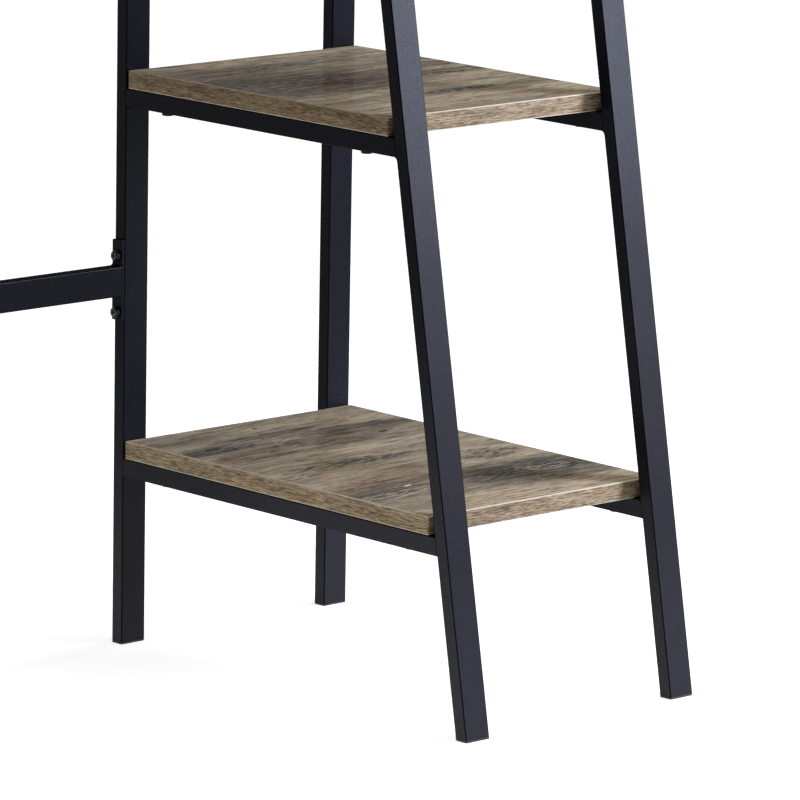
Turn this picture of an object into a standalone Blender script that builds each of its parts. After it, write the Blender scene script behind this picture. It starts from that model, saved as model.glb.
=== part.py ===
"""Ladder-frame desk: a writing top beside an open shelf tower, on leaning frames of steel tube."""

import math

import bmesh
import bpy
from mathutils import Matrix, Vector

# Driving sizes, in metres and degrees.
# X = 0 is the outer face of the tower's left frame, Y = 0 the front of the rear legs, Z = 0 the floor.

# Steel tube: the legs and the stretcher share one section, the rails are a little taller
TUBE_WIDE = 0.030
TUBE_THIN = 0.015
TUBE_WALL = 0.0012
TUBE_CORNER = 0.0010
BORE_CORNER = 0.0005
RAIL_TALL = 0.018

# Side frames: an upright rear leg and a front leg that leans back
FRAME_PITCH = 0.271
FOOT_REACH = 0.505
FRONT_LEG_LEAN = 10.1

# Shelf boards of the tower
SHELF_TIERS = 4
SHELF_THICK = 0.018
FIRST_SHELF_HEIGHT = 0.190
SHELF_STEP = 0.371
SHELF_BACK_GAP = 0.003
SHELF_FRONT_GAP = 0.0064

# Writing top and its bay, from the end frame's inner face to the tower
DESK_BAY = 0.869
DESK_HEIGHT = 0.760
DESK_DEPTH = 0.450
DESK_THICK = 0.018
DESK_END_GAP = 0.001

# Rounding of every board's edges
BOARD_EDGE_ROUND = 0.0008

# Angle cleat that carries the writing top on the tower
CLEAT_LEG = 0.030
CLEAT_THICK = 0.003
CLEAT_FILLET = 0.003

# Rear stretcher with an end plate at each end, bolted above and below the tube
STRETCHER_HEIGHT = 0.3685
PLATE_THICK = 0.003
PLATE_CORNER = 0.0006
UPPER_BOLT_OFFSET = 0.0102
UPPER_PLATE_MARGIN = 0.0158
LOWER_BOLT_OFFSET = 0.0165
LOWER_PLATE_MARGIN = 0.008

# Screws with a cross recess: flat heads under the boards, domed heads on the bolts into the legs
SCREW_SHANK = 0.006
SCREW_TIP = 0.0012
HEAD_WIDE = 0.0116
FLAT_HEAD_TALL = 0.0032
FLAT_HEAD_RIM = 0.0020
FLAT_HEAD_CROWN = 0.0086
DOMED_HEAD_TALL = 0.0050
DOMED_HEAD_RIM = 0.0016
DOMED_HEAD_CROWN = 0.0064
RECESS_SPAN = 0.0062
RECESS_WIDE = 0.0014
RECESS_DEEP = 0.0018

# Screw places in a rail, from its ends and, above the lowest tier, out from its middle, and the board left
# above a screw's tip
SCREW_BACK_INSET = 0.051
SCREW_FRONT_INSET = 0.049
SCREW_OUTSET = 0.0045
SCREW_COVER = 0.006

# Threaded collars inside the legs, and how far a bolt reaches into the leg past its wall
COLLAR_WIDE = 0.010
COLLAR_LONG = 0.006
BOLT_REACH = 0.009

# Plastic foot plugs
SOLE_THICK = 0.002
PLUG_TALL = 0.018
PLUG_TAPER = 0.0006
PLUG_CLEARANCE = 0.0003

# Gap between faces that rest on each other, room round a screw and room past its tip
SEAT_GAP = 0.0003
HOLE_CLEARANCE = 0.0003
TIP_ROOM = 0.001

# Counts of straight pieces in a quarter corner, a full turn, a head's dome and a board's edge
CORNER_STEPS = 3
ROUND_SIDES = 12
DOME_STEPS = 2
EDGE_STEPS = 2
SMOOTH_ANGLE = 40

# Places that follow from the driving sizes
LEAN_SLOPE = math.tan(math.radians(FRONT_LEG_LEAN))
LEAN_STRETCH = 1 / math.cos(math.radians(FRONT_LEG_LEAN))
TOWER_WIDE = FRAME_PITCH + TUBE_WIDE
TOWER_LEG_TOP = FIRST_SHELF_HEIGHT + (SHELF_TIERS - 1) * SHELF_STEP - SEAT_GAP
DESK_UNDERSIDE = DESK_HEIGHT - DESK_THICK
DESK_LEG_TOP = DESK_UNDERSIDE - SEAT_GAP
END_FRAME_X = -DESK_BAY - TUBE_WIDE
LEG_FOOT = SOLE_THICK + SEAT_GAP
UPPER_BOLT_RISE = TUBE_WIDE / 2 + UPPER_BOLT_OFFSET
LOWER_BOLT_DROP = TUBE_WIDE / 2 + LOWER_BOLT_OFFSET

# Head shapes: height, straight rim and flat crown
HEAD_SHAPES = {
    "flat": (FLAT_HEAD_TALL, FLAT_HEAD_RIM, FLAT_HEAD_CROWN),
    "domed": (DOMED_HEAD_TALL, DOMED_HEAD_RIM, DOMED_HEAD_CROWN),
}

# Side frames: the left face of each, and the height of its leg tops
SIDE_FRAMES = {
    "tower_left": (0, TOWER_LEG_TOP),
    "tower_right": (FRAME_PITCH, TOWER_LEG_TOP),
    "end_frame": (END_FRAME_X, DESK_LEG_TOP),
}


def shelf_underside(tier):
    return FIRST_SHELF_HEIGHT + tier * SHELF_STEP


def front_leg_front(height):
    return LEAN_SLOPE * height - FOOT_REACH


def front_leg_back(height):
    return front_leg_front(height) + TUBE_THIN * LEAN_STRETCH


def front_leg_middle(height):
    return (front_leg_front(height) + front_leg_back(height)) / 2


def clear_scene():
    for item in list(bpy.data.objects):
        bpy.data.objects.remove(item, do_unlink=True)


def make_material(name, colour, roughness, metallic):
    made = bpy.data.materials.new(name)
    made.use_nodes = True
    shader = made.node_tree.nodes["Principled BSDF"]
    shader.inputs["Base Color"].default_value = (*colour, 1.0)
    shader.inputs["Roughness"].default_value = roughness
    shader.inputs["Metallic"].default_value = metallic
    return made


def make_base():
    """Empty that puts the middle of the footprint on the world's origin."""
    front = min(-FOOT_REACH, TUBE_THIN - DESK_DEPTH)
    base = bpy.data.objects.new("desk_base", None)
    base.location = (-(END_FRAME_X + TOWER_WIDE) / 2, -(front + TUBE_THIN) / 2, 0)
    bpy.context.scene.collection.objects.link(base)
    return base


def add_piece(name, mesh, location, finish, turn=0):
    """Object on the desk's base; turn is its rotation about Y, in degrees."""
    piece = bpy.data.objects.new(name, mesh)
    bpy.context.scene.collection.objects.link(piece)
    piece.parent = BASE
    piece.location = location
    piece.rotation_euler = (0, math.radians(turn), 0)
    if finish and not mesh.materials:
        mesh.materials.append(finish)
    return piece


def add_guide(name, mesh):
    """Hidden shape that joins or cuts other pieces."""
    guide = add_piece(name, mesh, (0, 0, 0), None)
    guide.hide_render = True
    guide.display_type = "WIRE"
    return guide


def combine(piece, guide, operation):
    step = piece.modifiers.new(guide.name, "BOOLEAN")
    step.operation = operation
    step.solver = "EXACT"
    step.object = guide


def mesh_from(shell, name):
    bmesh.ops.recalc_face_normals(shell, faces=shell.faces)
    mesh = bpy.data.meshes.new(name)
    shell.to_mesh(mesh)
    shell.free()
    mesh.shade_smooth()
    mesh.set_sharp_from_angle(angle=math.radians(SMOOTH_ANGLE))
    return mesh


def skin(name, loops, hollow):
    """Closed shell through equal loops of points: a hollow tube's four, or a capped solid's row."""
    shell = bmesh.new()
    rows = [[shell.verts.new(point) for point in loop] for loop in loops]
    pairs = list(zip(rows, rows[1:]))
    if hollow:
        pairs.append((rows[-1], rows[0]))
    else:
        shell.faces.new(rows[0])
        shell.faces.new(rows[-1])
    for near, far in pairs:
        for index in range(len(near)):
            following = (index + 1) % len(near)
            shell.faces.new((near[index], near[following], far[following], far[index]))
    return mesh_from(shell, name)


def arc_points(centre, radius, start, sweep):
    points = []
    for step in range(CORNER_STEPS + 1):
        angle = math.radians(start + sweep * step / CORNER_STEPS)
        points.append((centre[0] + radius * math.cos(angle), centre[1] + radius * math.sin(angle)))
    return points


def rounded_outline(wide, tall, radius):
    """Rounded rectangle centred on zero, with each corner an arc."""
    reach_u = wide / 2 - radius
    reach_v = tall / 2 - radius
    points = []
    for quarter, (side_u, side_v) in enumerate(((1, 1), (-1, 1), (-1, -1), (1, -1))):
        points += arc_points((side_u * reach_u, side_v * reach_v), radius, 90 * quarter, 90)
    return points


def circle_loop(diameter, height):
    loop = []
    for side in range(ROUND_SIDES):
        angle = 2 * math.pi * side / ROUND_SIDES
        loop.append((diameter / 2 * math.cos(angle), diameter / 2 * math.sin(angle), height))
    return loop


def tube_mesh(name, wide, tall, place):
    """Hollow tube; place(u, v, end) puts a point of the section on end 0 or end 1."""
    outer = rounded_outline(wide, tall, TUBE_CORNER)
    bore = rounded_outline(wide - 2 * TUBE_WALL, tall - 2 * TUBE_WALL, BORE_CORNER)
    order = ((outer, 0), (outer, 1), (bore, 1), (bore, 0))
    return skin(name, [[place(u, v, end) for u, v in outline] for outline, end in order], hollow=True)


def rod_guide(name, rods):
    """Round rods as one hidden guide: each rod is (start, direction, length, diameter)."""
    shell = bmesh.new()
    for start, direction, length, diameter in rods:
        along = Vector(direction)
        middle = Vector(start) + along * (length / 2)
        stand = Vector((0, 0, 1)).rotation_difference(along).to_matrix().to_4x4()
        bmesh.ops.create_cone(shell, cap_ends=True, segments=ROUND_SIDES, radius1=diameter / 2,
                              radius2=diameter / 2, depth=length, matrix=Matrix.Translation(middle) @ stand)
    return add_guide(name, mesh_from(shell, name))


def rear_leg(name, left, top):
    def place(u, v, end):
        return (u, v, top if end else LEG_FOOT)

    mesh = tube_mesh(name, TUBE_WIDE, TUBE_THIN, place)
    return add_piece(name, mesh, (left + TUBE_WIDE / 2, TUBE_THIN / 2, 0), STEEL)


def front_leg(name, left, top):
    """Leaning tube with its ends cut level with the floor."""
    def place(u, v, end):
        height = top if end else LEG_FOOT
        return (u, v * LEAN_STRETCH + LEAN_SLOPE * height, height)

    mesh = tube_mesh(name, TUBE_WIDE, TUBE_THIN, place)
    return add_piece(name, mesh, (left + TUBE_WIDE / 2, front_leg_middle(0), 0), STEEL)


def foot_plug(name, left, middle, slope, stretch):
    """Sole under a leg's end and the tapered plug inside it; slope and stretch follow the leg."""
    plug_wide = TUBE_WIDE - 2 * (TUBE_WALL + PLUG_CLEARANCE)
    plug_thin = TUBE_THIN - 2 * (TUBE_WALL + PLUG_CLEARANCE)
    sole = rounded_outline(TUBE_WIDE, TUBE_THIN, TUBE_CORNER)
    root = rounded_outline(plug_wide, plug_thin, BORE_CORNER)
    tip = rounded_outline(plug_wide - 2 * PLUG_TAPER, plug_thin - 2 * PLUG_TAPER, BORE_CORNER)
    levels = ((sole, 0), (sole, SOLE_THICK), (root, SOLE_THICK), (tip, SOLE_THICK + PLUG_TALL))
    loops = [[(u, v * stretch + slope * z, z) for u, v in outline] for outline, z in levels]
    return add_piece(name, skin(name, loops, hollow=False), (left + TUBE_WIDE / 2, middle, 0), PLASTIC)


def rail(name, left, top):
    """Tube between the legs of one side frame, its front end mitred to the leaning leg."""
    centre = top - RAIL_TALL / 2

    def place(u, v, end):
        along = front_leg_back(centre + v) + SEAT_GAP if end else -SEAT_GAP
        return (u, along, v)

    mesh = tube_mesh(name, TUBE_WIDE, RAIL_TALL, place)
    return add_piece(name, mesh, (left + TUBE_WIDE / 2, 0, centre), STEEL)


def board(name, low, high):
    size = Vector(high) - Vector(low)
    shell = bmesh.new()
    bmesh.ops.create_cube(shell, size=1, matrix=Matrix.Diagonal((*size, 1)))
    piece = add_piece(name, mesh_from(shell, name), (Vector(low) + Vector(high)) / 2, WOOD)
    edge = piece.modifiers.new("edge_round", "BEVEL")
    edge.width = BOARD_EDGE_ROUND
    edge.segments = EDGE_STEPS
    return piece


def end_plate(name, left):
    """Plate on edge against a rear leg's side face, as deep as the leg."""
    above = UPPER_BOLT_RISE + UPPER_PLATE_MARGIN
    below = LOWER_BOLT_DROP + LOWER_PLATE_MARGIN
    outline = rounded_outline(TUBE_THIN, above + below, PLATE_CORNER)
    loops = [[(x, u, v) for u, v in outline] for x in (0, PLATE_THICK)]
    middle = (left, TUBE_THIN / 2, STRETCHER_HEIGHT + (above - below) / 2)
    return add_piece(name, skin(name, loops, hollow=False), middle, STEEL)


def stretcher_tube(name, left, right):
    def place(u, v, end):
        return (right - left if end else 0, u, v)

    mesh = tube_mesh(name, TUBE_THIN, TUBE_WIDE, place)
    return add_piece(name, mesh, (left, TUBE_THIN / 2, STRETCHER_HEIGHT), STEEL)


def cleat(name, top):
    """Steel angle on the tower's outer side, from its rear leg to its front leg."""
    inner = -CLEAT_THICK - CLEAT_FILLET
    outline = [(0, -CLEAT_LEG), (0, 0), (-CLEAT_LEG, 0), (-CLEAT_LEG, -CLEAT_THICK)]
    outline += arc_points((inner, inner), CLEAT_FILLET, 90, -90)
    outline += [(-CLEAT_THICK, -CLEAT_LEG)]
    ends = (TUBE_THIN, front_leg_front(top - CLEAT_LEG))
    loops = [[(u, y, v) for u, v in outline] for y in ends]
    return add_piece(name, skin(name, loops, hollow=False), (-SEAT_GAP, 0, top), STEEL)


def recess_guide(head):
    """Cross-shaped prism at the crown of a screw head that is seated at zero."""
    tall = HEAD_SHAPES[head][0]
    far = RECESS_SPAN / 2
    near = RECESS_WIDE / 2
    quarter = ((far, -near), (far, near), (near, near))
    outline = []
    for turns in range(4):
        spin = Matrix.Rotation(math.radians(90 * turns), 2)
        outline += [spin @ Vector(point) for point in quarter]
    loops = [[(u, v, z) for u, v in outline] for z in (RECESS_DEEP - tall, -RECESS_DEEP - tall)]
    return add_guide(f"{head}_head_recess", skin(f"{head}_head_recess", loops, hollow=False))


def screw_mesh(shank, head):
    """Screw along +Z, seated at zero, with its head below; screws of one kind and length share it."""
    name = f"{head}_head_{shank * 1000:.1f}_mm"
    if name in bpy.data.meshes:
        return bpy.data.meshes[name]
    tall, rim, crown = HEAD_SHAPES[head]
    loops = [
        circle_loop(SCREW_SHANK - 2 * SCREW_TIP, shank),
        circle_loop(SCREW_SHANK, shank - SCREW_TIP),
        circle_loop(SCREW_SHANK, 0),
        circle_loop(HEAD_WIDE, 0),
    ]
    for step in range(DOME_STEPS + 1):
        angle = math.radians(90 * step / DOME_STEPS)
        diameter = crown + (HEAD_WIDE - crown) * math.cos(angle)
        loops.append(circle_loop(diameter, -rim - (tall - rim) * math.sin(angle)))
    blank = add_piece("screw_blank", skin("screw_blank", loops, hollow=False), (0, 0, 0), ZINC)
    combine(blank, RECESSES[head], "DIFFERENCE")
    cut_blank = blank.evaluated_get(bpy.context.evaluated_depsgraph_get())
    mesh = bpy.data.meshes.new_from_object(cut_blank)
    mesh.name = name
    bpy.data.objects.remove(blank, do_unlink=True)
    return mesh


def hole_rod(seat, direction, shank):
    """Rod that clears a screw from below its head to past its tip."""
    start = Vector(seat) - TIP_ROOM * Vector(direction)
    return (start, direction, shank + 2 * TIP_ROOM, SCREW_SHANK + 2 * HOLE_CLEARANCE)


def board_screws(prefix, x, underside, grip, thick):
    """Two screws from below, through a grip of steel into a board; gives the rods of their holes."""
    shank = grip + 2 * SEAT_GAP + thick - SCREW_COVER
    height = underside - grip - 2 * SEAT_GAP
    places = {"back": -SCREW_BACK_INSET, "front": front_leg_back(underside) + SCREW_FRONT_INSET}
    rods = []
    for end, y in places.items():
        add_piece(f"{prefix}_{end}_screw", screw_mesh(shank, "flat"), (x, y, height), ZINC)
        rods.append(hole_rod((x, y, height), (0, 0, 1), shank))
    return rods


def build_side_frames():
    legs = {}
    for frame, (left, top) in SIDE_FRAMES.items():
        legs[frame, "rear"] = rear_leg(f"{frame}_rear_leg", left, top)
        legs[frame, "front"] = front_leg(f"{frame}_front_leg", left, top)
        foot_plug(f"{frame}_rear_foot", left, TUBE_THIN / 2, 0, 1)
        foot_plug(f"{frame}_front_foot", left, front_leg_middle(0), LEAN_SLOPE, LEAN_STRETCH)
    rail("end_frame_low_rail", END_FRAME_X, shelf_underside(0) - SEAT_GAP)
    return legs


def build_tower():
    """Rails, shelves and their screws; the top shelf also covers the leg tops."""
    pierced = []
    rods = []
    for tier in range(SHELF_TIERS):
        underside = shelf_underside(tier)
        surface = underside + SHELF_THICK
        if tier < SHELF_TIERS - 1:
            shelf = f"shelf_{tier + 1}"
            back = -SHELF_BACK_GAP
            front = front_leg_back(surface) + SHELF_FRONT_GAP
        else:
            shelf = "top_shelf"
            back = TUBE_THIN
            front = front_leg_front(TOWER_LEG_TOP)
        pierced.append(board(shelf, (0, front, underside), (TOWER_WIDE, back, surface)))
        outset = SCREW_OUTSET if tier > 0 else 0
        for side, outward in (("left", -1), ("right", 1)):
            left = SIDE_FRAMES[f"tower_{side}"][0]
            screw_x = left + TUBE_WIDE / 2 + outward * outset
            pierced.append(rail(f"tower_{side}_rail_{tier + 1}", left, underside - SEAT_GAP))
            rods += board_screws(f"{shelf}_{side}", screw_x, underside, RAIL_TALL, SHELF_THICK)
    return pierced, rods


def build_desktop(angle):
    """Writing top on the end frame's top rail and on the tower's angle cleat."""
    low = (END_FRAME_X, TUBE_THIN - DESK_DEPTH, DESK_UNDERSIDE)
    high = (-DESK_END_GAP, TUBE_THIN, DESK_HEIGHT)
    top_rail = rail("end_frame_top_rail", END_FRAME_X, DESK_LEG_TOP)
    rail_x = END_FRAME_X + TUBE_WIDE / 2 - SCREW_OUTSET
    cleat_x = -SEAT_GAP - (CLEAT_LEG + CLEAT_THICK) / 2
    rods = board_screws("desktop_left", rail_x, DESK_UNDERSIDE, RAIL_TALL, DESK_THICK)
    rods += board_screws("desktop_right", cleat_x, DESK_UNDERSIDE, CLEAT_THICK, DESK_THICK)
    return [board("desktop", low, high), top_rail, angle], rods


def build_stretcher():
    left = -DESK_BAY + SEAT_GAP
    right = -SEAT_GAP - PLATE_THICK
    stretcher_tube("stretcher", left + PLATE_THICK + SEAT_GAP, right - SEAT_GAP)
    return [end_plate("stretcher_left_plate", left), end_plate("stretcher_right_plate", right)]


def build_bolts(legs, gripped):
    """Bolts through the end plates and the cleat into threaded collars inside the legs."""
    jobs = []
    rear_y = TUBE_THIN / 2
    levels = {"upper": STRETCHER_HEIGHT + UPPER_BOLT_RISE, "lower": STRETCHER_HEIGHT - LOWER_BOLT_DROP}
    for level, height in levels.items():
        jobs.append((f"stretcher_left_{level}_bolt", ("end_frame", "rear"), rear_y, height, PLATE_THICK))
        jobs.append((f"stretcher_right_{level}_bolt", ("tower_left", "rear"), rear_y, height, PLATE_THICK))
    cleat_height = DESK_LEG_TOP - (CLEAT_LEG + CLEAT_THICK) / 2
    jobs.append(("cleat_rear_bolt", ("tower_left", "rear"), rear_y, cleat_height, CLEAT_THICK))
    front_y = front_leg_middle(cleat_height)
    jobs.append(("cleat_front_bolt", ("tower_left", "front"), front_y, cleat_height, CLEAT_THICK))

    holes = []
    collars = {}
    for name, leg, y, height, grip in jobs:
        way, face = (-1, -DESK_BAY) if leg[0] == "end_frame" else (1, 0)
        shank = grip + 2 * SEAT_GAP + TUBE_WALL + BOLT_REACH
        seat = (face - way * (grip + 2 * SEAT_GAP), y, height)
        add_piece(name, screw_mesh(shank, "domed"), seat, ZINC, 90 * way)
        holes.append(hole_rod(seat, (way, 0, 0), shank))
        root = (face + way * TUBE_WALL / 2, y, height)
        collars.setdefault(leg, []).append((root, (way, 0, 0), TUBE_WALL / 2 + COLLAR_LONG, COLLAR_WIDE))

    bolt_holes = rod_guide("bolt_holes", holes)
    for leg, rods in collars.items():
        combine(legs[leg], rod_guide(f"{legs[leg].name}_collars", rods), "UNION")
        combine(legs[leg], bolt_holes, "DIFFERENCE")
    for piece in gripped:
        combine(piece, bolt_holes, "DIFFERENCE")


clear_scene()
STEEL = make_material("black_powder_coat", (0.021, 0.021, 0.024), 0.55, 0.0)
WOOD = make_material("weathered_oak_board", (0.235, 0.180, 0.125), 0.60, 0.0)
PLASTIC = make_material("black_plastic", (0.012, 0.012, 0.013), 0.50, 0.0)
ZINC = make_material("black_zinc", (0.030, 0.030, 0.033), 0.35, 1.0)
BASE = make_base()
RECESSES = {head: recess_guide(head) for head in HEAD_SHAPES}

frame_legs = build_side_frames()
tower_pieces, tower_rods = build_tower()
tower_cleat = cleat("desktop_cleat", DESK_LEG_TOP)
desk_pieces, desk_rods = build_desktop(tower_cleat)
screw_holes = rod_guide("screw_holes", tower_rods + desk_rods)
for pierced_piece in tower_pieces + desk_pieces:
    combine(pierced_piece, screw_holes, "DIFFERENCE")
build_bolts(frame_legs, build_stretcher() + [tower_cleat])
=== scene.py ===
"""Dresses the ladder-frame desk: weathered oak boards with banded edges, welded black frames and screws."""

import math

import bmesh
import bpy
from mathutils import Matrix, Vector


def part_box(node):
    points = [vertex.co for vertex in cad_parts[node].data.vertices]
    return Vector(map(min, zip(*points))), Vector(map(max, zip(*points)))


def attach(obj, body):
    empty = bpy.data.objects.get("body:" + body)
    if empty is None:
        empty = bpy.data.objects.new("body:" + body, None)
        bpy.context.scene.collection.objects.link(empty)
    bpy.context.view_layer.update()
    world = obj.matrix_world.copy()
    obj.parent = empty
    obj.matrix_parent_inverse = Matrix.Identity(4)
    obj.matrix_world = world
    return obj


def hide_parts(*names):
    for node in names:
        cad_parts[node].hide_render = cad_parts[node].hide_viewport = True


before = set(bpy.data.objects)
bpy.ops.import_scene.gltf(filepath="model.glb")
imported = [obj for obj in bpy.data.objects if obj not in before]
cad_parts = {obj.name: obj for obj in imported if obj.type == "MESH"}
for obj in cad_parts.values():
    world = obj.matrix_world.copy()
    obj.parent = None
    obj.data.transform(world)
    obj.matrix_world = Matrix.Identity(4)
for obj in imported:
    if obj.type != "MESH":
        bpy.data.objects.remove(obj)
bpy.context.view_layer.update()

# Camera at the photograph's place: metres, degrees, and millimetres for the lens and the sensor's width
CAMERA_PLACE = (-3.581324, -4.374719, 1.457507)
CAMERA_YAW = 42.6297
CAMERA_PITCH = 11.2929
CAMERA_ROLL = 1.0004
CAMERA_LENS = 279.2427
SENSOR_WIDE = 36

# Boards: edge band, its rounding along the long edges and round the corners, the share of that rounding that
# shows the trimmed core, and the panel's own arris
BAND_THICK = 0.0015
BAND_ROUND = 0.0011
BAND_CORNER = 0.0010
TRIMMED_SHARE = 0.9
PANEL_ARRIS = 0.00015

# Screws: flat heads under the boards and domed heads on the bolts, each with its height and the rounding of
# its crown, and the cross recess, which narrows to a share of its mouth
HEAD_SIDES = 40
HEAD_WIDE = 0.0116
HEAD_SHAPES = {"screw": (0.0032, 0.0013), "bolt": (0.0050, 0.0030)}
HEAD_ARRIS = 0.0003
SHANK_WIDE = 0.0060
SHANK_TIP = 0.0012
CROSS_SPAN = 0.0062
CROSS_WIDE = 0.0015
CROSS_DEEP = 0.0018
CROSS_TAPER = 0.62
RUBBED_DEEP = 0.0004

# Welds: the leg of a fillet and of the small ones on the lowest rails, its hollow, the seam that it fills,
# the ripples along it and the lean of the front legs
WELD_LEG = 0.0038
SMALL_WELD_LEG = 0.0012
FILLET_PROFILE = 0.12
WELD_BITE = 0.0003
WELD_SIDE_INSET = 0.0009
SEAM_GAP = 0.0003
SEAM_TRIM = 0.0002
SEAM_CORNER = 0.0008
WELD_RIPPLES = 9
WELD_RIPPLE_DEEP = 0.00016
FRONT_LEG_LEAN = 10.1
FRONT_LEG_SLOPE = math.tan(math.radians(FRONT_LEG_LEAN))

# Angles in degrees up to which the faces of a piece are shaded as one
BAND_SMOOTH = 40
SCREW_SMOOTH = 35
WELD_SMOOTH = 50

# Painted light on the frames, lighter towards the floor for floor bounce, and painted sheen on the leaning
# fronts: heights in metres between which it fades
PAINTED_BOUNCE_FADE = (0.36, 0.0)
SIDE_PAINTED_BOUNCE_FADE = (0.24, 0.0)
LEAN_SHEEN_TOP = (0.46, 0.34)
LEAN_SHEEN_FOOT = (0.15, 0.28)

# Studio: the white that it shows, the light that its walls give, and the floor's width and paper
STUDIO_WHITE = (1, 1, 1, 1)
ROOM_TINT = (1.0, 0.97, 0.93, 1)
ROOM_LEVEL = 0.10
FLOOR_WIDE = 80
FLOOR_PAPER = (0.86, 0.86, 0.85, 1)

# Studio floor: how much of its white it shows without the lamps, at the desk and far from it, and how far in
# metres each reaches
GLOW_NEAR = (0.73, 0.73, 0.73, 1.0)
GLOW_FAR = (0.95, 0.95, 0.95, 1.0)
NEAR_REACH = 1.5
FAR_REACH = 3.5

# Lamps: (name, place, aim, width, height, watts, colour), in metres
SOFTBOXES = (
    ("key_softbox", (2.20, -2.02, 1.24), (0.42, -0.10, 0.50), 0.66, 1.1, 116, (0.74, 0.79, 1.0)),
    ("top_softbox", (0.1, -0.4, 3.0), (0.1, 0.0, 0.3), 2.0, 2.0, 22, (1.0, 0.95, 0.88)),
    ("right_softbox", (2.50, 0.10, 1.75), (0.45, 0.0, 0.5), 1.2, 1.2, 20, (1.0, 0.96, 0.90)),
    ("floor_bounce", (-0.10, 0.02, 0.11), (0.78, 0.02, 0.58), 0.9, 0.2, 1.12, (0.92, 0.95, 1.0)),
)

# Metres by which the noise of a board's print moves along and across, for each metre of its height, so that
# no two boards look alike
PRINT_SHIFT = (7.3, 3.1)
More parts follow.
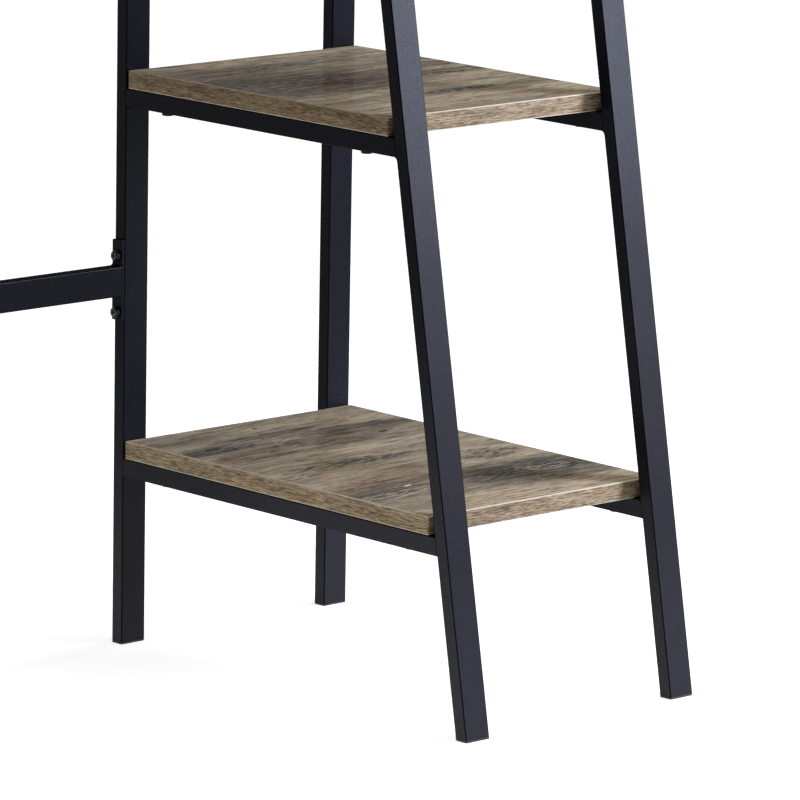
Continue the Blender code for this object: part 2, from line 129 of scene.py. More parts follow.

# Boards by their frame names, each with the streaks of its figure, where three streaks on shelf_1 hold
# painted
# shadow and light, marked below: (kind, x, y, half length, half width, weight), in metres from the board's
# back left corner, y towards the front
BOARD_FIGURES = {
    "shelf_1": (
        ("grey", 0.050, 0.030, 0.080, 0.022, 0.45),
        ("grey", 0.040, 0.090, 0.080, 0.019, 1.00),
        ("grey", 0.230, 0.090, 0.110, 0.018, 0.60),
        ("grey", 0.125, 0.212, 0.105, 0.014, 0.65),
        ("grey", 0.250, 0.262, 0.052, 0.022, 0.50),
        ("grey", 0.045, 0.335, 0.080, 0.026, 0.65),
        # Dark grey streak at the front right: partly figure, partly the painted shadow of the front right leg
        ("grey", 0.235, 0.340, 0.150, 0.048, 1.00),
        ("brown", 0.150, 0.105, 0.200, 0.050, 0.50),
        ("brown", 0.060, 0.325, 0.120, 0.048, 0.50),
        ("brown", 0.110, 0.070, 0.100, 0.014, 0.85),
        ("brown", 0.240, 0.096, 0.090, 0.026, 1.00),
        # Soft brown streak near the front: painted shadow of the front right leg
        ("brown", 0.220, 0.382, 0.150, 0.030, 0.80),
        ("brown", 0.060, 0.362, 0.110, 0.016, 0.55),
        ("rust", 0.045, 0.135, 0.075, 0.020, 0.85),
        ("rust", 0.175, 0.126, 0.070, 0.018, 0.75),
        ("rust", 0.060, 0.300, 0.090, 0.022, 0.80),
        ("rust", 0.235, 0.298, 0.075, 0.014, 0.60),
        # Pale strip along the front: painted light where the shelf above doesn't shade the board
        ("pale", 0.150, 0.430, 0.170, 0.034, 0.55),
        ("pale", 0.200, 0.045, 0.130, 0.022, 0.45),
        ("pale", 0.140, 0.172, 0.170, 0.022, 0.50),
        ("pale", 0.110, 0.250, 0.110, 0.022, 0.50),
        ("strokes", 0.120, 0.212, 0.112, 0.016, 0.90),
        ("strokes", 0.025, 0.236, 0.030, 0.018, 0.90),
        ("strokes", 0.245, 0.262, 0.048, 0.026, 1.00),
        ("strokes", 0.232, 0.342, 0.100, 0.018, 0.70),
        ("strokes", 0.045, 0.345, 0.060, 0.022, 0.80),
        ("strokes", 0.060, 0.090, 0.060, 0.014, 0.60),
        ("strokes", 0.115, 0.107, 0.044, 0.018, 0.80),
    ),
    "shelf_2": (
        ("grey", 0.046, 0.007, 0.026, 0.005, 0.90),
        ("grey", 0.150, 0.190, 0.320, 0.240, 0.22),
        ("grey", 0.080, 0.065, 0.150, 0.038, 0.74),
        ("grey", 0.050, 0.165, 0.170, 0.085, 0.86),
        ("grey", 0.100, 0.215, 0.070, 0.022, 0.80),
        ("grey", 0.185, 0.280, 0.068, 0.019, 1.00),
        ("grey", 0.286, 0.128, 0.040, 0.014, 0.60),
        ("brown", 0.060, 0.128, 0.150, 0.056, 0.80),
        ("brown", 0.110, 0.190, 0.160, 0.060, 0.80),
        ("brown", 0.258, 0.184, 0.070, 0.018, 0.95),
        ("brown", 0.235, 0.288, 0.045, 0.010, 0.80),
        ("rust", 0.155, 0.158, 0.110, 0.044, 0.70),
        ("rust", 0.268, 0.140, 0.060, 0.018, 0.80),
        ("rust", 0.215, 0.308, 0.050, 0.014, 0.50),
        ("pale", 0.155, 0.314, 0.070, 0.020, 0.75),
        ("pale", 0.235, 0.222, 0.090, 0.026, 0.60),
        ("pale", 0.150, 0.030, 0.140, 0.022, 0.45),
        ("pale", 0.040, 0.300, 0.070, 0.022, 0.40),
        ("strokes", 0.125, 0.066, 0.050, 0.014, 0.80),
        ("strokes", 0.102, 0.243, 0.030, 0.007, 1.00),
        ("strokes", 0.250, 0.186, 0.060, 0.014, 0.90),
        ("strokes", 0.185, 0.281, 0.060, 0.013, 0.90),
        ("strokes", 0.060, 0.160, 0.090, 0.022, 0.35),
    ),
    "shelf_3": (
        ("grey", 0.210, 0.062, 0.120, 0.016, 0.80),
        ("grey", 0.060, 0.150, 0.100, 0.020, 0.60),
        ("brown", 0.180, 0.236, 0.110, 0.014, 0.80),
        ("rust", 0.080, 0.094, 0.120, 0.018, 0.70),
        ("rust", 0.230, 0.180, 0.090, 0.014, 0.60),
        ("pale", 0.140, 0.122, 0.150, 0.014, 0.60),
        ("pale", 0.120, 0.276, 0.170, 0.020, 0.80),
        ("strokes", 0.200, 0.066, 0.080, 0.012, 0.90),
        ("strokes", 0.060, 0.206, 0.060, 0.014, 0.80),
    ),
    "top_shelf": (
        ("grey", 0.120, 0.052, 0.140, 0.016, 0.70),
        ("grey", 0.230, 0.142, 0.090, 0.020, 0.80),
        ("brown", 0.050, 0.196, 0.100, 0.014, 0.70),
        ("rust", 0.090, 0.104, 0.130, 0.018, 0.70),
        ("rust", 0.220, 0.222, 0.100, 0.014, 0.60),
        ("pale", 0.170, 0.020, 0.150, 0.014, 0.60),
        ("pale", 0.130, 0.250, 0.170, 0.022, 0.80),
        ("strokes", 0.220, 0.146, 0.070, 0.014, 0.90),
        ("strokes", 0.080, 0.058, 0.060, 0.010, 0.80),
    ),
    "desktop": (
        ("grey", 0.200, 0.070, 0.240, 0.018, 0.80),
        ("grey", 0.640, 0.118, 0.260, 0.022, 0.70),
        ("grey", 0.760, 0.290, 0.200, 0.026, 0.80),
        ("brown", 0.330, 0.226, 0.300, 0.020, 0.90),
        ("brown", 0.160, 0.372, 0.240, 0.022, 0.80),
        ("rust", 0.480, 0.062, 0.260, 0.020, 0.70),
        ("rust", 0.220, 0.156, 0.280, 0.020, 0.70),
        ("rust", 0.650, 0.210, 0.240, 0.018, 0.60),
        ("rust", 0.420, 0.330, 0.280, 0.020, 0.70),
        ("pale", 0.780, 0.056, 0.200, 0.024, 0.70),
        ("pale", 0.560, 0.166, 0.260, 0.018, 0.60),
        ("pale", 0.230, 0.284, 0.260, 0.022, 0.60),
        ("pale", 0.560, 0.412, 0.380, 0.030, 0.80),
        ("strokes", 0.220, 0.074, 0.120, 0.014, 0.90),
        ("strokes", 0.690, 0.292, 0.110, 0.020, 1.00),
        ("strokes", 0.420, 0.232, 0.130, 0.012, 0.80),
    ),
}

# Single marks on the boards: (kind, x, y, half length, half width, lean in degrees)
BOARD_MARKS = {
    "shelf_1": (
        ("fleck", 0.080, 0.327, 0.008, 0.0026, 16),
        ("crack", 0.058, 0.356, 0.042, 0.0016, 15),
        ("knot", 0.237, 0.120, 0.009, 0.0050, 0),
        ("knot", 0.143, 0.031, 0.005, 0.0030, 0),
    ),
    "shelf_2": (
        ("crack", 0.200, 0.268, 0.040, 0.0016, 6),
        ("knot", 0.052, 0.008, 0.014, 0.0035, 0),
    ),
}
MARK_PAINTS = {"fleck": (236, 230, 218), "crack": (196, 184, 160), "knot": (62, 46, 42)}


class Signal:
    """A socket in a finish's node tree; arithmetic on it adds Math nodes."""

    def __init__(self, tree, socket=None):
        self.tree = tree
        self.socket = socket

    def node(self, kind, settings=None, sockets=None, output=0):
        """Adds any node, its settings first and then the values or links of its sockets."""
        made = self.tree.nodes.new("ShaderNode" + kind)
        for name, value in (settings or {}).items():
            if name == "stops":
                set_stops(made.color_ramp.elements, value)
            else:
                setattr(made, name, value)
        for key, value in (sockets or {}).items():
            if isinstance(value, Signal):
                self.tree.links.new(value.socket, made.inputs[key])
            else:
                made.inputs[key].default_value = value
        return Signal(self.tree, made.outputs[output])

    def math(self, operation, first, second):
        return self.node("Math", {"operation": operation}, {0: first, 1: second})

    def __add__(self, other):
        return self.math("ADD", self, other)

    __radd__ = __add__

    def __sub__(self, other):
        return self.math("SUBTRACT", self, other)

    def __rsub__(self, other):
        return self.math("SUBTRACT", other, self)

    def __mul__(self, other):
        return self.math("MULTIPLY", self, other)

    __rmul__ = __mul__

    def __truediv__(self, other):
        return self.math("DIVIDE", self, other)

    def larger(self, other):
        return self.math("MAXIMUM", self, other)

    def feed(self, shader, socket):
        self.tree.links.new(self.socket, shader.inputs[socket])


def set_stops(elements, stops):
    while len(elements) < len(stops):
        elements.new(1.0)
    for element, (position, colour) in zip(elements, stops):
        element.position = position
        element.color = colour


def paint(red, green, blue):
    """Linear colour of a paint chip read as 0 to 255 on a screen."""
    def channel(value):
        share = value / 255
        return share / 12.92 if share <= 0.04045 else ((share + 0.055) / 1.055) ** 2.4

    return (channel(red), channel(green), channel(blue), 1.0)


def new_finish(name):
    finish = bpy.data.materials.new(name)
    finish.use_nodes = True
    shader = finish.node_tree.nodes["Principled BSDF"]
    place = Signal(finish.node_tree).node("TexCoord", output="Object")
    return finish, shader, place


def cloud(place, cells, detail, rough=0.55, shift=(0, 0, 0), warp=0.0, turn=0):
    """Noise from 0 to 1 with its own number of cells per metre along each axis, turned about Z by degrees."""
    sockets = {"Vector": place, "Location": shift, "Rotation": (0, 0, math.radians(turn)),
               "Scale": [1 / count for count in cells]}
    laid = place.node("Mapping", {"vector_type": "TEXTURE"}, sockets, "Vector")
    values = {"Vector": laid, "Scale": 1.0, "Detail": detail, "Roughness": rough, "Distortion": warp}
    return place.node("TexNoise", None, values, "Fac")


def ease(signal, low, high):
    """Soft step from 0 at low to 1 at high."""
    ends = {"Value": signal, "From Min": low, "From Max": high, "To Min": 0.0, "To Max": 1.0}
    return signal.node("MapRange", {"interpolation_type": "SMOOTHSTEP"}, ends, "Result")


def blend_colour(share, under, over):
    return share.node("Mix", {"data_type": "RGBA"}, {0: share, 6: under, 7: over}, 2)


def lay_paints(colour, *layers):
    """Lays paints over a colour in order, each by its share."""
    for share, chip in layers:
        colour = blend_colour(share, colour, paint(*chip))
    return colour


def axis_of(vector, axis):
    return vector.node("SeparateXYZ", None, {0: vector}, axis)


def press(shader, height, strength, distance):
    """Relief of a finish, from a height signal."""
    bump = height.node("Bump", None, {"Strength": strength, "Distance": distance, "Height": height}, "Normal")
    bump.feed(shader, "Normal")


def powder_coat():
    """Fine-sand black powder coat: a thin skin with bright flakes over a dull body, kept thin on the vertical
    arrises and on the faces that look up as painted shade.

    Pale painted light lies on it, lighter towards the floor for the light that the floor throws back, most on
    the sides of the tubes, and a little more as painted sheen on the leaning fronts between the two lowest
    shelves; it also dulls the coat.
    """
    finish, shader, place = new_finish("black_powder_coat")
    drift = cloud(place, (5, 5, 5), 2.0)
    sand = cloud(place, (640, 640, 640), 3.0, 0.65)
    peel = cloud(place, (420, 420, 420), 1.0)
    facing = place.node("NewGeometry", output="Normal")
    aside, ahead, upward = (axis_of(facing, axis) for axis in "XYZ")
    corner = aside * ahead
    # Vertical arrises and faces that look up: less coat and less painted light there, as painted shade
    eased = ease(upward, 0.40, 0.70).larger(ease(corner * corner, 0.004, 0.03))
    height = axis_of(place, "Z")
    # Painted light in patches, less on arrises and upward faces: floor bounce lower down, on the sides, and
    # painted sheen on the leaning fronts
    painted_light_patches = (0.75 + cloud(place, (60, 60, 60), 4.0, 0.65) * 0.5) * (1 - eased * 0.9)
    painted_bounce = ease(height, *PAINTED_BOUNCE_FADE) * painted_light_patches
    side_painted_bounce = ease(height, *SIDE_PAINTED_BOUNCE_FADE) * aside * aside * painted_light_patches
    between_shelves = ease(height, *LEAN_SHEEN_TOP) * ease(height, *LEAN_SHEEN_FOOT)
    lean_painted_sheen = between_shelves * ease(upward, 0.06, 0.16) * painted_light_patches
    all_painted_light = painted_bounce * 0.46 + side_painted_bounce * 0.36 + lean_painted_sheen * 0.22
    flakes = ease(sand, 0.46, 0.66)
    body = blend_colour(drift, paint(11, 12, 16), paint(15, 16, 21))
    # The pale layer over the flakes is painted light, not dirt
    coat_with_painted_light = lay_paints(body, (flakes * 0.26, (34, 36, 56)), (all_painted_light, (66, 65, 68)))
    coat_with_painted_light.feed(shader, "Base Color")
    (0.50 + drift * 0.06 + sand * 0.10 + painted_bounce * 0.06).feed(shader, "Roughness")
    (flakes * 0.16 * (1 - painted_bounce * 0.8)).feed(shader, "Metallic")
    # Coat thinned on the arrises and on the faces that look up: painted shade
    ((0.064 + sand * 0.12) * (1 - eased * 0.88)).feed(shader, "Coat Weight")
    shader.inputs["Coat Roughness"].default_value = 0.28
    shader.inputs["Specular IOR Level"].default_value = 0.0
    press(shader, sand * 0.5 + peel * 0.5, 0.22, 0.0003)
    return finish


def foot_plastic():
    """Moulded black plastic, a little scuffed and dusty where it meets the floor."""
    finish, shader, place = new_finish("black_foot_plastic")
    grain = cloud(place, (700, 700, 700), 2.0)
    drift = cloud(place, (40, 40, 40), 3.0)
    height = axis_of(place, "Z")
    scuff = (1 - ease(height, 0.0, 0.0022)) * ease(drift, 0.42, 0.66)
    body = blend_colour(drift, paint(26, 26, 28), paint(38, 38, 40))
    lay_paints(body, (scuff * 0.55, (104, 102, 98))).feed(shader, "Base Color")
    (0.42 + drift * 0.14 + scuff * 0.2).feed(shader, "Roughness")
    shader.inputs["Specular IOR Level"].default_value = 0.30
    press(shader, grain, 0.15, 0.0002)
    return finish


def black_zinc():
    """Blackened zinc on the screws, rubbed brighter on the crown and at the mouth of the cross."""
    finish, shader, place = new_finish("black_zinc")
    drift = cloud(place, (300, 300, 300), 3.0)
    swirl = cloud(place, (2400, 2400, 2400), 2.0)
    rubbed = place.node("Attribute", {"attribute_name": "rubbed"}, output="Fac")
    wear = rubbed * ease(drift, 0.35, 0.65)
    body = blend_colour(drift, paint(24, 24, 26), paint(36, 36, 39))
    lay_paints(body, (wear * 0.45, (112, 110, 106))).feed(shader, "Base Color")
    (0.44 - wear * 0.12 + swirl * 0.12).feed(shader, "Roughness")
    shader.inputs["Metallic"].default_value = 0.85
    press(shader, swirl, 0.12, 0.0001)
    return finish


def streak(across, along, length, width):
    """Soft lens-shaped patch: 1 at its middle and 0 at its rim."""
    long_share = along / length
    wide_share = across / width
    return ease(1 - (long_share * long_share + wide_share * wide_share), 0.0, 0.90)


def lay_marks(board, place, colour):
    """Flecks, cracks and knots of a board, laid over the colour of its figure."""
    low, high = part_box(board)
    along, across = (axis_of(place, axis) for axis in "XY")
    rough = cloud(place, (90, 160, 160), 2.0)
    for kind, x, y, length, width, lean in BOARD_MARKS.get(board, ()):
        run = along - (low.x + x)
        rise = across - (high.y - y) - run * math.tan(math.radians(lean)) + (rough - 0.5) * 0.006
        colour = lay_paints(colour, (streak(rise, run, length, width), MARK_PAINTS[kind]))
    return colour


def oak_face(board):
    """Printed weathered oak under thin lacquer: broad streaks, a few of them painted shadow and light,
    fibres, ring lines and dark strokes.
    """
    finish, shader, place = new_finish(board + "_oak_face")
    low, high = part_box(board)
    shift = (low.z * PRINT_SHIFT[0], low.z * PRINT_SHIFT[1], 0.0)
    spread = cloud(place, (3, 34, 34), 2.0, 0.5, shift)
    waver = cloud(place, (6, 15, 15), 2.0, 0.5, shift)
    ragged = cloud(place, (10, 100, 100), 3.0, 0.6, shift)
    fibre = cloud(place, (9, 180, 180), 3.0, 0.65, shift)
    thread = cloud(place, (20, 340, 340), 3.0, 0.65, shift, warp=0.2, turn=2)
    stroke = cloud(place, (72, 330, 330), 2.0, 0.55, shift, warp=0.4, turn=16)
    pore = cloud(place, (48, 230, 230), 2.0, 0.5, shift, warp=0.2, turn=3)
    split = cloud(place, (15, 115, 115), 2.0, 0.5, shift, warp=0.4, turn=5)
    growth = cloud(place, (2.6, 17, 17), 2.0, 0.4, shift, warp=0.6)

    along = axis_of(place, "X") + (waver - 0.5) * 0.060
    across = axis_of(place, "Y") + (waver - 0.5) * 0.030 + (ragged - 0.5) * 0.015
    totals = {}
    for kind, x, y, length, width, weight in BOARD_FIGURES[board]:
        patch = streak(across - (high.y - y), along - (low.x + x), length, width) * weight
        totals[kind] = totals[kind].larger(patch) if kind in totals else patch
    busy = totals["grey"].larger(totals["rust"]).larger(totals["brown"])
    rough = 0.55 + ragged * 0.7

    stops = ((0.30, paint(130, 120, 102)), (0.50, paint(184, 169, 141)), (0.70, paint(230, 214, 182)))
    body = place.node("ValToRGB", {"stops": stops}, {0: spread * 0.64 + ragged * 0.36}, "Color")
    rings = ease(growth.math("PINGPONG", growth * 15, 0.5), 0.13, 0.02) * ease(ragged, 0.40, 0.60)
    strokes = ease(stroke, 0.52, 0.58) * (0.06 + totals["strokes"] * 0.54 + rings * 0.22)
    glints = ease(stroke, 0.46, 0.40) * (0.05 + totals["strokes"] * 0.26)
    # Some grey, brown and pale streaks of shelf_1 are painted shadow and painted light
    streaked = lay_paints(
        body,
        (totals["pale"] * rough * 0.80, (212, 188, 154)),
        (totals["brown"] * rough * 0.85, (104, 88, 74)),
        (totals["rust"] * (0.50 + fibre * 0.8) * 0.78, (132, 100, 80)),
        (totals["grey"] * rough * 0.95, (62, 64, 63)),
    )
    lined = lay_paints(
        streaked,
        (ease(fibre, 0.50, 0.62) * (0.24 + busy * 0.30), (84, 73, 62)),
        (ease(fibre, 0.44, 0.34) * (0.18 + busy * 0.14), (216, 200, 170)),
        (ease(thread, 0.51, 0.60) * 0.44, (82, 73, 62)),
        (ease(thread, 0.46, 0.38) * 0.22, (222, 206, 176)),
        (ease(split, 0.58, 0.63) * (0.16 + busy * 0.30), (70, 61, 54)),
        (rings * 0.35, (80, 72, 62)),
        (ease(pore, 0.57, 0.61) * (0.36 + busy * 0.22), (62, 54, 48)),
        (glints, (222, 210, 182)),
        (strokes, (44, 41, 39)),
    )
    lay_marks(board, place, lined).feed(shader, "Base Color")
    (0.46 + fibre * 0.10 + strokes * 0.15).feed(shader, "Roughness")
    (0.055 - strokes * 0.03).feed(shader, "Coat Weight")
    shader.inputs["Coat Roughness"].default_value = 0.14
    shader.inputs["Specular IOR Level"].default_value = 0.0
    press(shader, thread * 0.4 + fibre * 0.6 - strokes * 0.8, 0.10, 0.0003)
    return finish


def oak_edge_band():
    """Edge band with fibres along the edge, short ticks and specks, and pale trimmed arrises."""
    finish, shader, place = new_finish("oak_edge_band")
    drift = cloud(place, (13, 13, 90), 2.0)
    fibre = cloud(place, (34, 34, 560), 3.0, 0.65)
    tick = cloud(place, (110, 110, 1000), 2.0, 0.5, warp=0.2)
    speck = cloud(place, (64, 64, 900), 2.0, 0.6, warp=0.15)
    trimmed = place.node("Attribute", {"attribute_name": "trimmed"}, output="Fac")
    stops = ((0.34, paint(100, 83, 59)), (0.50, paint(143, 124, 94)), (0.66, paint(184, 164, 130)))
    body = place.node("ValToRGB", {"stops": stops}, {0: drift * 0.4 + fibre * 0.6}, "Color")
    ticks = ease(tick, 0.55, 0.60)
    specked = lay_paints(
        body,
        (ease(drift, 0.54, 0.70) * 0.40, (152, 118, 94)),
        (ticks * 0.56, (74, 59, 44)),
        (ease(tick, 0.43, 0.37) * 0.45, (200, 184, 156)),
        (ease(speck, 0.43, 0.36) * 0.46, (196, 178, 148)),
        (ease(speck, 0.57, 0.63) * 0.62, (70, 56, 42)),
        (trimmed * (0.60 + fibre * 0.35), (232, 220, 200)),
    )
    specked.feed(shader, "Base Color")
    (0.50 + fibre * 0.12 - trimmed * 0.10).feed(shader, "Roughness")
    shader.inputs["Specular IOR Level"].default_value = 0.10
    press(shader, fibre - ticks * 0.7, 0.12, 0.0002)
    return finish


def start_block(name, low, high):
    """Cube primitive at its size and place, with its place in its mesh."""
    low, high = Vector(low), Vector(high)
    bpy.ops.object.select_all(action="DESELECT")
    bpy.ops.mesh.primitive_cube_add(size=1, location=(low + high) / 2)
    block = bpy.context.object
    block.name = name
    block.scale = high - low
    bpy.ops.object.transform_apply(location=True, rotation=True, scale=True)
    return block


def choose(*pieces):
    """Selects these pieces alone, the first of them active."""
    bpy.ops.object.select_all(action="DESELECT")
    for piece in pieces:
        piece.select_set(True)
    bpy.context.view_layer.objects.active = pieces[0]


def enter(piece, mode):
    """Edit mode on one piece, with nothing selected."""
    choose(piece)
    bpy.ops.object.mode_set(mode="EDIT")
    bpy.ops.mesh.select_mode(type=mode)
    bpy.ops.mesh.select_all(action="DESELECT")


def leave():
    bpy.ops.object.mode_set(mode="OBJECT")


def pick(piece, kind, test):
    """Selects the faces, edges or points of the piece in edit mode that pass a test."""
    bpy.ops.mesh.select_all(action="DESELECT")
    shape = bmesh.from_edit_mesh(piece.data)
    shape.normal_update()
    for item in getattr(shape, kind):
        if test(item):
            item.select_set(True)
    bmesh.update_edit_mesh(piece.data)


def middle(edge):
    return (edge.verts[0].co + edge.verts[1].co) / 2


def runs_along(edge, axis):
    way = (edge.verts[1].co - edge.verts[0].co).normalized()
    return abs(way[axis]) > 0.99


def near(value, target, slack=1e-5):
    return abs(value - target) < slack


def cut(piece, tool):
    """Takes a tool's shape out of a piece and drops the tool."""
    step = piece.modifiers.new("cut", "BOOLEAN")
    step.operation = "DIFFERENCE"
    step.solver = "EXACT"
    step.object = tool
    apply_steps(piece)
    bpy.data.objects.remove(tool, do_unlink=True)


def apply_steps(piece):
    bpy.context.view_layer.objects.active = piece
    for step in list(piece.modifiers):
        bpy.ops.object.modifier_apply(modifier=step.name)


def smooth(piece, degrees):
    choose(piece)
    bpy.ops.object.shade_smooth_by_angle(angle=math.radians(degrees))


def mark(piece, name, test):
    """Point attribute that is 1 where the test passes."""
    layer = piece.data.attributes.new(name, "FLOAT", "POINT")
    for point, value in zip(piece.data.vertices, layer.data):
        value.value = 1.0 if test(point.co) else 0.0


def dress(piece, finish, slot, *nodes):
    """Gives a piece its finish and puts it on the desk in place of the nodes named; the slot is not used."""
    piece.data.materials.clear()
    piece.data.materials.append(finish)
    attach(piece, "root")
    if nodes:
        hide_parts(*nodes)


def make_panel(board):
    """Board core with its printed faces, inside the edge band."""
    low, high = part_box(board)
    rim = Vector((BAND_THICK, BAND_THICK, 0))
    panel = start_block(board + "_panel", low + rim, high - rim)
    enter(panel, "EDGE")
    pick(panel, "edges", lambda edge: True)
    bpy.ops.mesh.bevel(offset=PANEL_ARRIS, segments=1, affect="EDGES")
    leave()
    return panel


def make_band(board):
    """Band round a board's four edges, eased along its long arrises and at the corners."""
    low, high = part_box(board)
    band = start_block(board + "_edge_band", low, high)
    enter(band, "FACE")
    pick(band, "faces", lambda face: abs(face.normal.z) > 0.9)
    bpy.ops.mesh.delete(type="FACE")
    bpy.ops.mesh.select_mode(type="EDGE")
    pick(band, "edges", lambda edge: runs_along(edge, 2))
    bpy.ops.mesh.bevel(offset=BAND_CORNER, segments=3, affect="EDGES")
    leave()
    wall = band.modifiers.new("wall", "SOLIDIFY")
    wall.thickness = BAND_THICK
    wall.offset = -1
    wall.use_even_offset = True
    apply_steps(band)

    def outer_arris(edge):
        spot = middle(edge)
        level = near(spot.z, low.z) or near(spot.z, high.z)
        reach_x = min(spot.x - low.x, high.x - spot.x)
        reach_y = min(spot.y - low.y, high.y - spot.y)
        rim = near(min(reach_x, reach_y), 0) or max(reach_x, reach_y) < BAND_CORNER
        return level and rim and not runs_along(edge, 2) and is_outline(edge)

    def is_outline(edge):
        return any(abs(face.normal.z) < 0.1 and faces_out(face) for face in edge.link_faces)

    def faces_out(face):
        centre = (low + high) / 2
        return face.normal.dot(face.calc_center_median() - centre) > 0

    enter(band, "EDGE")
    pick(band, "edges", outer_arris)
    bpy.ops.mesh.bevel(offset=BAND_ROUND, segments=4, affect="EDGES")
    leave()
    eased = BAND_ROUND * TRIMMED_SHARE
    mark(band, "trimmed", lambda spot: spot.z > high.z - eased or spot.z < low.z + eased)
    smooth(band, BAND_SMOOTH)
    return band


def make_screw(name, shank, tall, crown_round):
    """Screw seated at zero: the shank runs up, the head and its cross recess lie below."""
    bpy.ops.object.select_all(action="DESELECT")
    bpy.ops.mesh.primitive_cylinder_add(vertices=HEAD_SIDES, radius=HEAD_WIDE / 2, depth=tall,
                                        location=(0, 0, -tall / 2))
    screw = bpy.context.object
    screw.name = name
    bpy.ops.object.transform_apply(location=True, rotation=True, scale=True)
    enter(screw, "EDGE")
    pick(screw, "edges", lambda edge: near(edge.verts[0].co.z, -tall) and near(edge.verts[1].co.z, -tall))
    bpy.ops.mesh.bevel(offset=crown_round, segments=6, affect="EDGES")
    pick(screw, "edges", lambda edge: near(edge.verts[0].co.z, 0) and near(edge.verts[1].co.z, 0))
    bpy.ops.mesh.bevel(offset=HEAD_ARRIS, segments=2, affect="EDGES")
    bpy.ops.mesh.select_mode(type="FACE")
    pick(screw, "faces", lambda face: face.normal.z > 0.9 and near(face.calc_center_median().z, 0))
    bpy.ops.mesh.inset(thickness=(HEAD_WIDE - SHANK_WIDE) / 2 - HEAD_ARRIS)
    bpy.ops.mesh.extrude_region_move(TRANSFORM_OT_translate={"value": (0, 0, shank - SHANK_TIP)})
    bpy.ops.mesh.extrude_region_move(TRANSFORM_OT_translate={"value": (0, 0, SHANK_TIP)})
    narrow = 1 - 2 * SHANK_TIP / SHANK_WIDE
    bpy.ops.transform.resize(value=(narrow, narrow, 1))
    leave()
    crown = Vector((0, 0, -tall))
    for size in ((CROSS_SPAN, CROSS_WIDE), (CROSS_WIDE, CROSS_SPAN)):
        reach = Vector((size[0] / 2, size[1] / 2, CROSS_DEEP))
        tool = start_block(name + "_cross", crown - reach, crown + reach)
        enter(tool, "FACE")
        pick(tool, "faces", lambda face: face.normal.z > 0.9)
        bpy.ops.transform.resize(value=(CROSS_TAPER, CROSS_TAPER, 1))
        leave()
        cut(screw, tool)
    mark(screw, "rubbed", lambda spot: spot.z < -tall + RUBBED_DEEP)
    smooth(screw, SCREW_SMOOTH)
    return screw


def make_fillet(name, length, leg, slope):
    """Hollow weld along X in a corner at zero: one face lies above it, the other behind, with a slope."""
    low = Vector((-length / 2, WELD_BITE - leg, WELD_BITE - leg))
    high = Vector((length / 2, WELD_BITE, WELD_BITE))
    bead = start_block(name, low, high)
    enter(bead, "EDGE")
    pick(bead, "edges", lambda edge: runs_along(edge, 0) and near(middle(edge).y, low.y)
         and near(middle(edge).z, low.z))
    bpy.ops.mesh.bevel(offset=leg - WELD_BITE, segments=6, profile=FILLET_PROFILE, affect="EDGES")
    for ripple in range(1, 2 * WELD_RIPPLES):
        bpy.ops.mesh.select_all(action="SELECT")
        bpy.ops.mesh.bisect(plane_co=(low.x + length * ripple / (2 * WELD_RIPPLES), 0, 0), plane_no=(1, 0, 0))
    bpy.ops.mesh.select_mode(type="VERT")

    def on_ripple(point):
        place = (point.co.x - low.x) / length * WELD_RIPPLES
        return point.co.z < 0 and point.co.y < 0 and near(place % 1.0, 0.5, 0.01)

    pick(bead, "verts", on_ripple)
    bpy.ops.transform.translate(value=(0, -WELD_RIPPLE_DEEP, -WELD_RIPPLE_DEEP))
    pick(bead, "verts", lambda point: point.co.z < -leg / 2 and near(point.co.y, high.y, 1e-4))
    bpy.ops.transform.translate(value=(0, slope * leg, 0))
    leave()
    return bead


def lay(piece, place, turns=()):
    """Turns a piece about named axes, in degrees, and sets it at a place."""
    for axis, degrees in turns:
        piece.data.transform(Matrix.Rotation(math.radians(degrees), 4, axis))
    piece.data.transform(Matrix.Translation(place))
    return piece


def make_seam(name, low, high, slope):
    """Ground weld that fills the seam between a rail's end and its leg."""
    seam = start_block(name, low, high)
    enter(seam, "FACE")
    pick(seam, "faces", lambda face: face.normal.z > 0.9)
    bpy.ops.transform.translate(value=(0, slope * (high.z - low.z), 0))
    bpy.ops.mesh.select_mode(type="EDGE")

    def along_seam(edge):
        if runs_along(edge, 0) or runs_along(edge, 2):
            return False
        return abs(edge.verts[0].co.y - edge.verts[1].co.y) > 1e-6

    pick(seam, "edges", along_seam)
    bpy.ops.mesh.bevel(offset=SEAM_CORNER, segments=3, affect="EDGES")
    leave()
    return seam


def join(name, *parts):
    """One piece of several, under a new name."""
    choose(*parts)
    bpy.ops.object.join()
    parts[0].name = name
    return parts[0]


def make_rail_welds(rail):
    """Welds at both ends of a rail, on the upright and the leaning leg: a ground seam over a fillet."""
    low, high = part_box(rail)
    trim = Vector((SEAM_TRIM, 0, SEAM_TRIM))
    length = high.x - low.x - 2 * WELD_SIDE_INSET
    leg = SMALL_WELD_LEG if rail.endswith(("_rail_1", "_low_rail")) else WELD_LEG
    made = []
    ends_of_rail = (("back", 1, 0.0, high.y, 0), ("front", -1, FRONT_LEG_SLOPE, low.y, 180))
    for end, corner, slope, foot, turn in ends_of_rail:
        face = foot + corner * SEAM_GAP
        ends = sorted((foot - corner * WELD_BITE, face + corner * WELD_BITE))
        seam = make_seam(f"{rail}_{end}_seam", Vector((low.x, ends[0], low.z)) + trim,
                         Vector((high.x, ends[1], high.z)) - trim, slope)
        fillet = make_fillet(f"{rail}_{end}_fillet", length, leg, slope)
        lay(fillet, ((low.x + high.x) / 2, face, low.z), (("Z", turn),))
        weld = join(f"{rail}_{end}_weld", fillet, seam)
        smooth(weld, WELD_SMOOTH)
        made.append(weld)
    return made


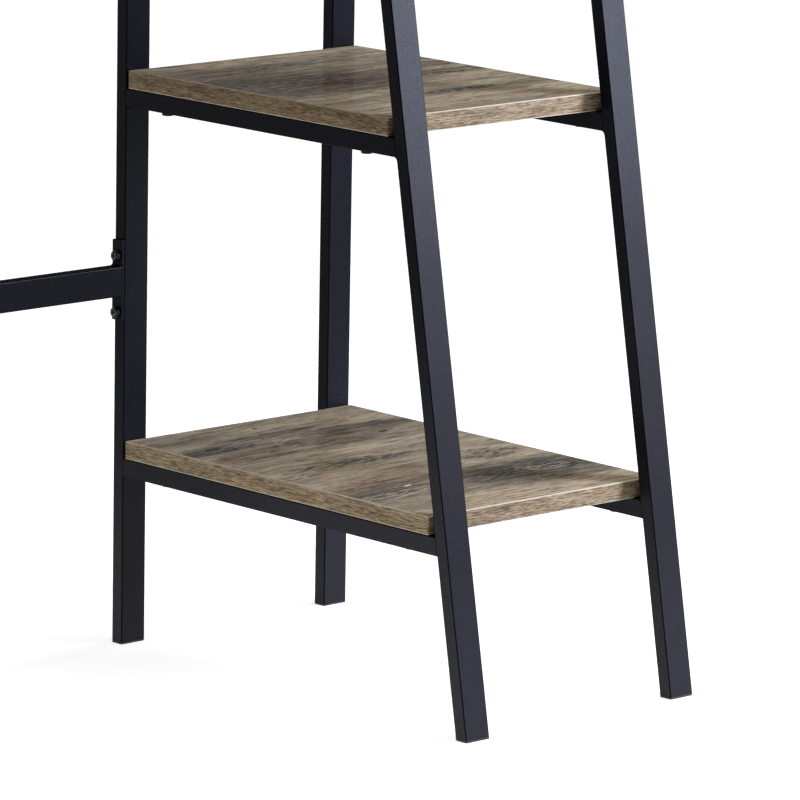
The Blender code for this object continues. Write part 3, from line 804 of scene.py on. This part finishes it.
def make_stretcher_welds():
    """Welds across the top of the stretcher at its two end plates."""
    low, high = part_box("stretcher")
    length = high.y - low.y - 2 * WELD_SIDE_INSET
    made = []
    for end, x, turn in (("left", low.x - SEAM_GAP, -90), ("right", high.x + SEAM_GAP, 90)):
        bead = make_fillet(f"stretcher_{end}_weld", length, WELD_LEG, 0.0)
        lay(bead, (x, (low.y + high.y) / 2, high.z), (("X", 180), ("Z", turn)))
        smooth(bead, WELD_SMOOTH)
        made.append(bead)
    return made


def place_screw(pattern, node, axis, way, tall):
    """Copy of a screw on a node's place: axis is its run, way is +1 where its tip points up the axis."""
    low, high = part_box(node)
    seat = (low + high) / 2
    seat[axis] = low[axis] + tall if way > 0 else high[axis] - tall
    copy = bpy.data.objects.new(node + "_head", pattern.data.copy())
    bpy.context.scene.collection.objects.link(copy)
    return lay(copy, seat, (("Y", 90 * way),) if axis == 0 else ())


def make_screws(finish):
    """Screws up into the boards and bolts across into the legs; each length of each kind is modelled once."""
    patterns = {}
    for node in sorted(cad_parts):
        kind = node.rsplit("_", 1)[-1]
        if kind not in HEAD_SHAPES:
            continue
        tall, crown_round = HEAD_SHAPES[kind]
        axis = 2 if kind == "screw" else 0
        way = -1 if node.startswith("stretcher_left") else 1
        low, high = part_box(node)
        shank = high[axis] - low[axis] - tall
        key = f"{kind}_pattern_{shank * 1000:.1f}"
        if key not in patterns:
            patterns[key] = make_screw(key, shank, tall, crown_round)
        dress(place_screw(patterns[key], node, axis, way, tall), finish, "black_screw", node)
    for pattern in patterns.values():
        bpy.data.objects.remove(pattern, do_unlink=True)


def make_boards():
    """Panels with a print of their own, and their edge bands."""
    band_finish = oak_edge_band()
    for board in BOARD_FIGURES:
        dress(make_panel(board), oak_face(board), "oak_board", board)
        dress(make_band(board), band_finish, "oak_board")


def make_frames(steel, plastic):
    """Finishes of the frame's own tubes, plates and feet, and the welds at the rails."""
    for name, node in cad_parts.items():
        node.data.materials.clear()
        node.data.materials.append(plastic if name.endswith("_foot") else steel)
    welds = make_stretcher_welds()
    for name in sorted(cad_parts):
        if "_rail" in name:
            welds += make_rail_welds(name)
    for weld in welds:
        dress(weld, steel, "powder_coat")


def studio_white(tree):
    """Share of rays that see the plain white studio: camera, glossy and transmission rays."""
    start = Signal(tree)
    seen = start.node("LightPath", output="Is Camera Ray")
    mirrored = start.node("LightPath", output="Is Glossy Ray")
    passed = start.node("LightPath", output="Is Transmission Ray")
    return seen.larger(mirrored).larger(passed)


def make_floor():
    """Pale floor that keeps the desk's shadow and runs into the white behind it."""
    bpy.ops.object.select_all(action="DESELECT")
    bpy.ops.mesh.primitive_plane_add(size=FLOOR_WIDE, location=(0, 0, 0))
    floor = bpy.context.object
    floor.name = "studio_floor"
    bpy.ops.object.transform_apply(location=True, rotation=True, scale=True)
    finish = bpy.data.materials.new("pale_studio_floor")
    finish.use_nodes = True
    tree = finish.node_tree
    tree.nodes.remove(tree.nodes["Principled BSDF"])
    start = Signal(tree)
    spot = start.node("TexCoord", output="Object")
    aside, ahead = (axis_of(spot, axis) for axis in "XY")
    away = ease(aside * aside + ahead * ahead, NEAR_REACH ** 2, FAR_REACH ** 2)
    paper = start.node("BsdfDiffuse", None, {"Color": FLOOR_PAPER})
    glow = start.node("Emission", None, {"Color": blend_colour(away, GLOW_NEAR, GLOW_FAR), "Strength": 1.0})
    seen = start.node("AddShader", None, {0: paper, 1: glow})
    shown = start.node("MixShader", None, {0: studio_white(tree), 1: paper, 2: seen})
    shown.feed(tree.nodes["Material Output"], 0)
    finish.cycles.emission_sampling = "NONE"
    floor.data.materials.append(finish)


def make_world():
    """Plain white behind the desk and in its reflections, and a weak light from the room on everything."""
    world = bpy.data.worlds.new("studio")
    world.use_nodes = True
    tree = world.node_tree
    tree.nodes.remove(tree.nodes["Background"])
    start = Signal(tree)
    room = start.node("Background", None, {"Color": ROOM_TINT, "Strength": ROOM_LEVEL})
    white = start.node("Background", None, {"Color": STUDIO_WHITE, "Strength": 1.0})
    shown = start.node("MixShader", None, {0: studio_white(tree), 1: room, 2: white})
    shown.feed(tree.nodes["World Output"], 0)
    bpy.context.scene.world = world


def make_softbox(name, place, aim, wide, tall, power, colour):
    """Rectangular lamp turned to its aim, which the camera doesn't see."""
    lamp = bpy.data.lights.new(name, "AREA")
    lamp.shape = "RECTANGLE"
    lamp.size = wide
    lamp.size_y = tall
    lamp.energy = power
    lamp.color = colour
    box = bpy.data.objects.new(name, lamp)
    box.location = place
    box.rotation_euler = (Vector(aim) - Vector(place)).to_track_quat("-Z", "Y").to_euler()
    box.visible_camera = False
    bpy.context.scene.collection.objects.link(box)


def make_camera():
    """Camera at the photograph's place, with its heading, tilt and roll."""
    lens = bpy.data.cameras.new("photo_camera")
    lens.sensor_width = SENSOR_WIDE
    lens.lens = CAMERA_LENS
    camera = bpy.data.objects.new("photo_camera", lens)
    heading = Matrix.Rotation(math.radians(-CAMERA_YAW), 4, "Z")
    tilt = Matrix.Rotation(math.radians(90 - CAMERA_PITCH), 4, "X")
    roll = Matrix.Rotation(math.radians(CAMERA_ROLL), 4, "Z")
    camera.matrix_world = Matrix.Translation(CAMERA_PLACE) @ heading @ tilt @ roll
    bpy.context.scene.collection.objects.link(camera)
    bpy.context.scene.camera = camera


make_camera()
make_boards()
make_frames(powder_coat(), foot_plastic())
make_screws(black_zinc())
make_floor()
make_world()
for softbox in SOFTBOXES:
    make_softbox(*softbox)
bpy.context.scene.view_settings.view_transform = "Standard"
